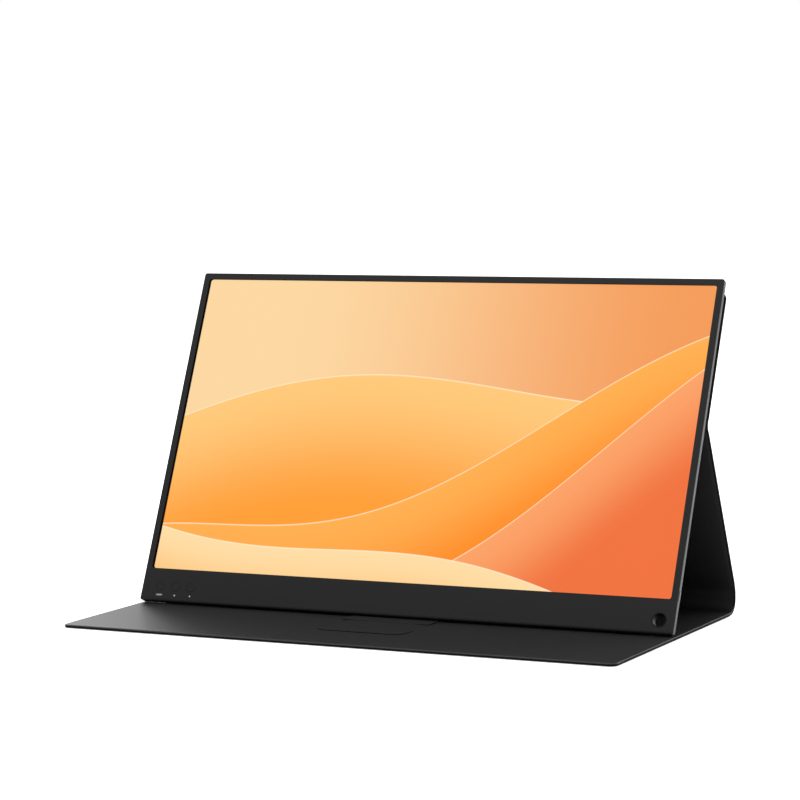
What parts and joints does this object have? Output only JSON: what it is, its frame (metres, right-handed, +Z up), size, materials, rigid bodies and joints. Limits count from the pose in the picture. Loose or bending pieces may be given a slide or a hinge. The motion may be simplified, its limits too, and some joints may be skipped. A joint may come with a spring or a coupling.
{
  "type": "portable monitor",
  "caption": "Slim portable monitor on a black leather-look folding cover that props it up as a tilted stand, with round keys in the chin and a pen hole in the corner.",
  "frame": {"origin": "on the table, under the middle of the bounding box", "axes": "+X to the viewer's right along the screen's width, +Y away from the viewer, +Z up"},
  "size_m": [0.3533, 0.2006, 0.2038],
  "materials": {
    "cover_leather": "semi-gloss grained leather-look sheet",
    "cover_lining": "smooth leather-look sheet with a soft sheen",
    "cover_board": "grey stiff board",
    "bezel": "fine matt black moulding",
    "rear_shell": "fine-textured black moulding with satin side walls",
    "screen": "lit display behind a matt front polariser",
    "film": "clear and white backlight sheets",
    "tray_metal": "plain rolled sheet",
    "circuit_board": "green solder mask",
    "flat_cable": "amber film",
    "port_metal": "drawn metal shell",
    "socket_black": "black moulding",
    "switch_metal": "stamped metal top",
    "key_black": "satin black moulding",
    "button_black": "satin black moulding",
    "speaker_black": "plain black moulding",
    "sleeve_black": "glossy black moulding",
    "screw_steel": "black plated steel",
    "keeper_steel": "plain steel strip",
    "magnet": "nickel plated bar",
    "tape": "double-sided foam tape"
  },
  "bodies": {
    "base": {"base_skin": "cover_leather", "base_board": "cover_board", "base_lining": "cover_lining", "rear_fold": "cover_leather", "stop_pad": "cover_lining", "stop_lip": "cover_lining", "foot_magnets": "magnet"},
    "spine": {"spine_skin": "cover_leather", "spine_lining": "cover_lining", "lower_fold": "cover_leather"},
    "strut": {"strut_skin": "cover_leather", "strut_board": "cover_board", "strut_lining": "cover_lining", "top_fold": "cover_leather"},
    "menu_key": {"menu_key": "key_black"},
    "up_key": {"up_key": "key_black"},
    "down_key": {"down_key": "key_black"},
    "power_button": {"power_button": "button_black"},
    "monitor": {"front_bezel": "bezel", "rear_cover": "rear_shell", "lcd_cell": "screen", "optical_films": "film", "light_guide": "film", "reflector_sheet": "film", "led_bar": "circuit_board", "panel_tray": "tray_metal", "panel_tape": "tape", "driver_board": "circuit_board", "panel_flex": "flat_cable", "main_board": "circuit_board", "shield_can": "port_metal", "usb_c_ports": "port_metal", "mini_hdmi_port": "port_metal", "audio_jack": "socket_black", "board_screws": "screw_steel", "key_board": "circuit_board", "key_switches": "switch_metal", "key_flex": "flat_cable", "power_switch": "switch_metal", "power_flex": "flat_cable", "left_speaker": "speaker_black", "right_speaker": "speaker_black", "speaker_leads": "socket_black", "pen_sleeve": "sleeve_black", "case_screws": "screw_steel", "foot_keeper": "keeper_steel", "attach_tape": "tape", "attach_skin": "cover_leather", "attach_board": "cover_board", "attach_lining": "cover_lining"}
  },
  "joints": [
    {"name": "cover_swing", "type": "hinge", "parent": "base", "child": "spine", "pos_m": [0, 0.09933, 0.001], "axis": [1, 0, 0], "range_deg": [-90, 0], "deforming": ["rear_fold"]},
    {"name": "strut_lean", "type": "hinge", "parent": "spine", "child": "strut", "pos_m": [0, 0.09933, 0.0146], "axis": [1, 0, 0], "range_deg": [-24.48, 0], "deforming": ["lower_fold"]},
    {"name": "stand_fold", "type": "hinge", "parent": "strut", "child": "monitor", "pos_m": [0, 0.0491, 0.1186], "axis": [1, 0, 0], "range_deg": [0, 44.5], "deforming": ["top_fold"]},
    {"name": "menu_key_press", "type": "slide", "parent": "monitor", "child": "menu_key", "axis": [0, 0.9121, -0.4099], "range_m": [0, 0.0003], "stiffness_N_per_m": 1000, "springref_m": -0.0006},
    {"name": "up_key_press", "type": "slide", "parent": "monitor", "child": "up_key", "axis": [0, 0.9121, -0.4099], "range_m": [0, 0.0003], "stiffness_N_per_m": 1000, "springref_m": -0.0006},
    {"name": "down_key_press", "type": "slide", "parent": "monitor", "child": "down_key", "axis": [0, 0.9121, -0.4099], "range_m": [0, 0.0003], "stiffness_N_per_m": 1000, "springref_m": -0.0006},
    {"name": "power_press", "type": "slide", "parent": "monitor", "child": "power_button", "axis": [-1, 0, 0], "range_m": [0, 0.0003], "stiffness_N_per_m": 1500, "springref_m": -0.0006}
  ],
  "couplings": [
    {"joint": "strut_lean", "follows": "stand_fold", "ratio": -0.55}
  ]
}
